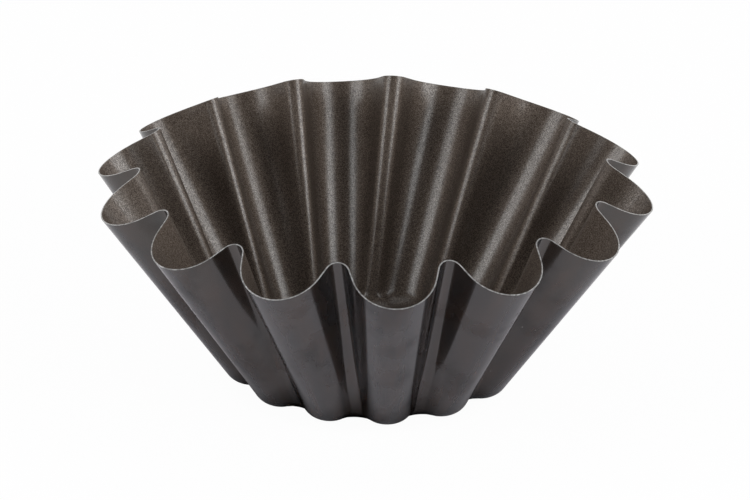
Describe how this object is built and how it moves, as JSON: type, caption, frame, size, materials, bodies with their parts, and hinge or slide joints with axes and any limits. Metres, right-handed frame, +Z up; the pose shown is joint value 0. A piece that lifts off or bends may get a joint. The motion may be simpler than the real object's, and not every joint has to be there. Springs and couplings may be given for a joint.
{
  "type": "fluted brioche mould",
  "caption": "Round flared baking mould of thin pressed sheet steel with deep flutes, a wavy bare rim, a scalloped flat base, a satin lining inside and a glossy dark lacquer outside.",
  "frame": {"origin": "middle of the resting plane under the flat base", "axes": "+Z up along the axis of the mould, out of its mouth; a lobe of the rim points to -Y, which is the side the picture shows"},
  "size_m": [0.2154, 0.2198, 0.0864],
  "materials": {
    "bare_steel": "bright cut edge of thin sheet steel with small burrs",
    "nonstick_lining": "satin brown-grey non-stick coat with a fine metallic fleck",
    "dark_lacquer": "smooth glossy brown-black lacquer"
  },
  "bodies": {
    "root": {"steel_shell": "bare_steel", "nonstick_lining": "nonstick_lining", "outer_lacquer": "dark_lacquer", "base_lacquer": "dark_lacquer"}
  },
  "joints": []
}
